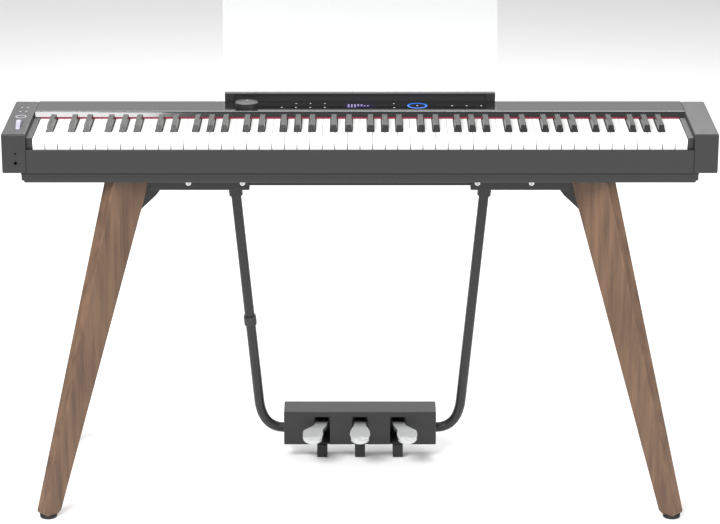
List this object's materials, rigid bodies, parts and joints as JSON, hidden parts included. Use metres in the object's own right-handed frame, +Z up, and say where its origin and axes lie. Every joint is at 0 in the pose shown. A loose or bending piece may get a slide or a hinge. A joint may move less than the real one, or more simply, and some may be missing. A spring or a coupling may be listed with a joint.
{
  "type": "digital piano",
  "caption": "slim 88-key digital piano on a four-legged walnut stand with a hanging three-pedal unit and a clear music rest, for playing keyboard music seated",
  "frame": {"origin": "on the floor, midway between the four feet", "axes": "+X to the player's right, +Y away from the player, +Z up"},
  "size_m": [1.34, 0.426, 0.9336],
  "materials": {
    "satin_black": "satin",
    "gloss_black": "polished gloss",
    "white_key": "smooth satin",
    "black_key": "satin gloss",
    "red_felt": "felt",
    "walnut": "oiled satin",
    "rubber": "matt",
    "black_metal": "satin powder coat",
    "chrome": "polished",
    "clear_sheet": "clear",
    "circuit_board": "solder mask",
    "display_glass": "polished",
    "wheel_lavender": "satin",
    "speaker_cone": "matt"
  },
  "bodies": {
    "root": {"lower_case": "satin_black", "front_rail": "satin_black", "left_end_block": "satin_black", "right_end_block": "satin_black", "upper_case": "gloss_black", "rear_cover": "satin_black", "key_frame": "satin_black", "key_felt": "red_felt", "main_board": "circuit_board", "left_speaker": "speaker_cone", "right_speaker": "speaker_cone", "display_module": "display_glass", "headphone_socket": "satin_black", "music_rest_holder": "satin_black", "left_stand_bracket": "black_metal", "right_stand_bracket": "black_metal", "stand_crossbar": "black_metal", "left_pedal_tube": "black_metal", "right_pedal_tube": "black_metal", "pedal_box_cover": "black_metal", "pedal_box_base": "rubber", "pedal_shaft": "chrome", "left_front_leg": "walnut", "left_front_foot": "rubber", "left_rear_leg": "walnut", "left_rear_foot": "rubber", "right_front_leg": "walnut", "right_front_foot": "rubber", "right_rear_leg": "walnut", "right_rear_foot": "rubber"},
    "white_keys_octaves_0_1": {"white_keys_octaves_0_1": "white_key"},
    "black_keys_octaves_0_1": {"black_keys_octaves_0_1": "black_key"},
    "white_keys_octave_2": {"white_keys_octave_2": "white_key"},
    "black_keys_octave_2": {"black_keys_octave_2": "black_key"},
    "white_keys_octave_3": {"white_keys_octave_3": "white_key"},
    "black_keys_octave_3": {"black_keys_octave_3": "black_key"},
    "white_keys_octave_5": {"white_keys_octave_5": "white_key"},
    "black_keys_octave_5": {"black_keys_octave_5": "black_key"},
    "white_keys_octave_6": {"white_keys_octave_6": "white_key"},
    "black_keys_octave_6": {"black_keys_octave_6": "black_key"},
    "white_keys_octaves_7_8": {"white_keys_octaves_7_8": "white_key"},
    "black_keys_octaves_7_8": {"black_keys_octaves_7_8": "black_key"},
    "white_key_C4": {"white_key_C4": "white_key"},
    "black_key_Cs4": {"black_key_Cs4": "black_key"},
    "white_key_D4": {"white_key_D4": "white_key"},
    "black_key_Ds4": {"black_key_Ds4": "black_key"},
    "white_key_E4": {"white_key_E4": "white_key"},
    "white_key_F4": {"white_key_F4": "white_key"},
    "black_key_Fs4": {"black_key_Fs4": "black_key"},
    "white_key_G4": {"white_key_G4": "white_key"},
    "black_key_Gs4": {"black_key_Gs4": "black_key"},
    "white_key_A4": {"white_key_A4": "white_key"},
    "black_key_As4": {"black_key_As4": "black_key"},
    "white_key_B4": {"white_key_B4": "white_key"},
    "volume_knob": {"volume_knob": "satin_black"},
    "pitch_bend_wheel": {"pitch_bend_wheel": "wheel_lavender"},
    "soft_pedal": {"soft_pedal": "chrome"},
    "sostenuto_pedal": {"sostenuto_pedal": "chrome"},
    "damper_pedal": {"damper_pedal": "chrome"},
    "music_rest": {"music_rest": "clear_sheet"}
  },
  "joints": [
    {"name": "white_octaves_0_1_press", "type": "hinge", "parent": "root", "child": "white_keys_octaves_0_1", "pos_m": [-0.50679, 0.1, 0.7187], "axis": [1, 0, 0], "range_deg": [0, 2.7], "stiffness_Nm_per_rad": 18, "springref_deg": -5.73},
    {"name": "black_octaves_0_1_press", "type": "hinge", "parent": "root", "child": "black_keys_octaves_0_1", "pos_m": [-0.50319, 0.078, 0.7065], "axis": [1, 0, 0], "range_deg": [0, 3.7], "stiffness_Nm_per_rad": 9, "springref_deg": -5.73},
    {"name": "white_octave_2_press", "type": "hinge", "parent": "root", "child": "white_keys_octave_2", "pos_m": [-0.31821, 0.1, 0.7187], "axis": [1, 0, 0], "range_deg": [0, 2.7], "stiffness_Nm_per_rad": 14, "springref_deg": -5.73},
    {"name": "black_octave_2_press", "type": "hinge", "parent": "root", "child": "black_keys_octave_2", "pos_m": [-0.31766, 0.078, 0.7065], "axis": [1, 0, 0], "range_deg": [0, 3.7], "stiffness_Nm_per_rad": 7.5, "springref_deg": -5.73},
    {"name": "white_octave_3_press", "type": "hinge", "parent": "root", "child": "white_keys_octave_3", "pos_m": [-0.15321, 0.1, 0.7187], "axis": [1, 0, 0], "range_deg": [0, 2.7], "stiffness_Nm_per_rad": 14, "springref_deg": -5.73},
    {"name": "black_octave_3_press", "type": "hinge", "parent": "root", "child": "black_keys_octave_3", "pos_m": [-0.15266, 0.078, 0.7065], "axis": [1, 0, 0], "range_deg": [0, 3.7], "stiffness_Nm_per_rad": 7.5, "springref_deg": -5.73},
    {"name": "white_octave_5_press", "type": "hinge", "parent": "root", "child": "white_keys_octave_5", "pos_m": [0.17679, 0.1, 0.7187], "axis": [1, 0, 0], "range_deg": [0, 2.7], "stiffness_Nm_per_rad": 14, "springref_deg": -5.73},
    {"name": "black_octave_5_press", "type": "hinge", "parent": "root", "child": "black_keys_octave_5", "pos_m": [0.17734, 0.078, 0.7065], "axis": [1, 0, 0], "range_deg": [0, 3.7], "stiffness_Nm_per_rad": 7.5, "springref_deg": -5.73},
    {"name": "white_octave_6_press", "type": "hinge", "parent": "root", "child": "white_keys_octave_6", "pos_m": [0.34179, 0.1, 0.7187], "axis": [1, 0, 0], "range_deg": [0, 2.7], "stiffness_Nm_per_rad": 14, "springref_deg": -5.73},
    {"name": "black_octave_6_press", "type": "hinge", "parent": "root", "child": "black_keys_octave_6", "pos_m": [0.34234, 0.078, 0.7065], "axis": [1, 0, 0], "range_deg": [0, 3.7], "stiffness_Nm_per_rad": 7.5, "springref_deg": -5.73},
    {"name": "white_octaves_7_8_press", "type": "hinge", "parent": "root", "child": "white_keys_octaves_7_8", "pos_m": [0.51857, 0.1, 0.7187], "axis": [1, 0, 0], "range_deg": [0, 2.7], "stiffness_Nm_per_rad": 16, "springref_deg": -5.73},
    {"name": "black_octaves_7_8_press", "type": "hinge", "parent": "root", "child": "black_keys_octaves_7_8", "pos_m": [0.50734, 0.078, 0.7065], "axis": [1, 0, 0], "range_deg": [0, 3.7], "stiffness_Nm_per_rad": 7.5, "springref_deg": -5.73},
    {"name": "C4_press", "type": "hinge", "parent": "root", "child": "white_key_C4", "pos_m": [-0.05893, 0.1, 0.7187], "axis": [1, 0, 0], "range_deg": [0, 2.7], "stiffness_Nm_per_rad": 2, "springref_deg": -5.73},
    {"name": "Cs4_press", "type": "hinge", "parent": "root", "child": "black_key_Cs4", "pos_m": [-0.04964, 0.078, 0.7065], "axis": [1, 0, 0], "range_deg": [0, 3.7], "stiffness_Nm_per_rad": 1.5, "springref_deg": -5.73},
    {"name": "D4_press", "type": "hinge", "parent": "root", "child": "white_key_D4", "pos_m": [-0.03536, 0.1, 0.7187], "axis": [1, 0, 0], "range_deg": [0, 2.7], "stiffness_Nm_per_rad": 2, "springref_deg": -5.73},
    {"name": "Ds4_press", "type": "hinge", "parent": "root", "child": "black_key_Ds4", "pos_m": [-0.02107, 0.078, 0.7065], "axis": [1, 0, 0], "range_deg": [0, 3.7], "stiffness_Nm_per_rad": 1.5, "springref_deg": -5.73},
    {"name": "E4_press", "type": "hinge", "parent": "root", "child": "white_key_E4", "pos_m": [-0.01179, 0.1, 0.7187], "axis": [1, 0, 0], "range_deg": [0, 2.7], "stiffness_Nm_per_rad": 2, "springref_deg": -5.73},
    {"name": "F4_press", "type": "hinge", "parent": "root", "child": "white_key_F4", "pos_m": [0.01179, 0.1, 0.7187], "axis": [1, 0, 0], "range_deg": [0, 2.7], "stiffness_Nm_per_rad": 2, "springref_deg": -5.73},
    {"name": "Fs4_press", "type": "hinge", "parent": "root", "child": "black_key_Fs4", "pos_m": [0.01997, 0.078, 0.7065], "axis": [1, 0, 0], "range_deg": [0, 3.7], "stiffness_Nm_per_rad": 1.5, "springref_deg": -5.73},
    {"name": "G4_press", "type": "hinge", "parent": "root", "child": "white_key_G4", "pos_m": [0.03536, 0.1, 0.7187], "axis": [1, 0, 0], "range_deg": [0, 2.7], "stiffness_Nm_per_rad": 2, "springref_deg": -5.73},
    {"name": "Gs4_press", "type": "hinge", "parent": "root", "child": "black_key_Gs4", "pos_m": [0.04714, 0.078, 0.7065], "axis": [1, 0, 0], "range_deg": [0, 3.7], "stiffness_Nm_per_rad": 1.5, "springref_deg": -5.73},
    {"name": "A4_press", "type": "hinge", "parent": "root", "child": "white_key_A4", "pos_m": [0.05893, 0.1, 0.7187], "axis": [1, 0, 0], "range_deg": [0, 2.7], "stiffness_Nm_per_rad": 2, "springref_deg": -5.73},
    {"name": "As4_press", "type": "hinge", "parent": "root", "child": "black_key_As4", "pos_m": [0.07431, 0.078, 0.7065], "axis": [1, 0, 0], "range_deg": [0, 3.7], "stiffness_Nm_per_rad": 1.5, "springref_deg": -5.73},
    {"name": "B4_press", "type": "hinge", "parent": "root", "child": "white_key_B4", "pos_m": [0.0825, 0.1, 0.7187], "axis": [1, 0, 0], "range_deg": [0, 2.7], "stiffness_Nm_per_rad": 2, "springref_deg": -5.73},
    {"name": "volume_turn", "type": "hinge", "parent": "root", "child": "volume_knob", "pos_m": [-0.2195, 0.084, 0.741], "axis": [0, 0, 1], "range_deg": [-140, 140]},
    {"name": "pitch_bend_turn", "type": "hinge", "parent": "root", "child": "pitch_bend_wheel", "pos_m": [-0.6435, -0.056, 0.724], "axis": [1, 0, 0], "range_deg": [-30, 30], "stiffness_Nm_per_rad": 0.2},
    {"name": "soft_pedal_press", "type": "hinge", "parent": "root", "child": "soft_pedal", "pos_m": [-0.0765, 0.15, 0.076], "axis": [1, 0, 0], "range_deg": [0, 7], "stiffness_Nm_per_rad": 20, "springref_deg": -5.73},
    {"name": "sostenuto_pedal_press", "type": "hinge", "parent": "root", "child": "sostenuto_pedal", "pos_m": [0, 0.15, 0.076], "axis": [1, 0, 0], "range_deg": [0, 7], "stiffness_Nm_per_rad": 20, "springref_deg": -5.73},
    {"name": "damper_pedal_press", "type": "hinge", "parent": "root", "child": "damper_pedal", "pos_m": [0.0765, 0.15, 0.076], "axis": [1, 0, 0], "range_deg": [0, 7], "stiffness_Nm_per_rad": 20, "springref_deg": -5.73},
    {"name": "music_rest_lift", "type": "slide", "parent": "root", "child": "music_rest", "axis": [0, 0.225, 0.9744], "range_m": [0, 0.012]}
  ]
}
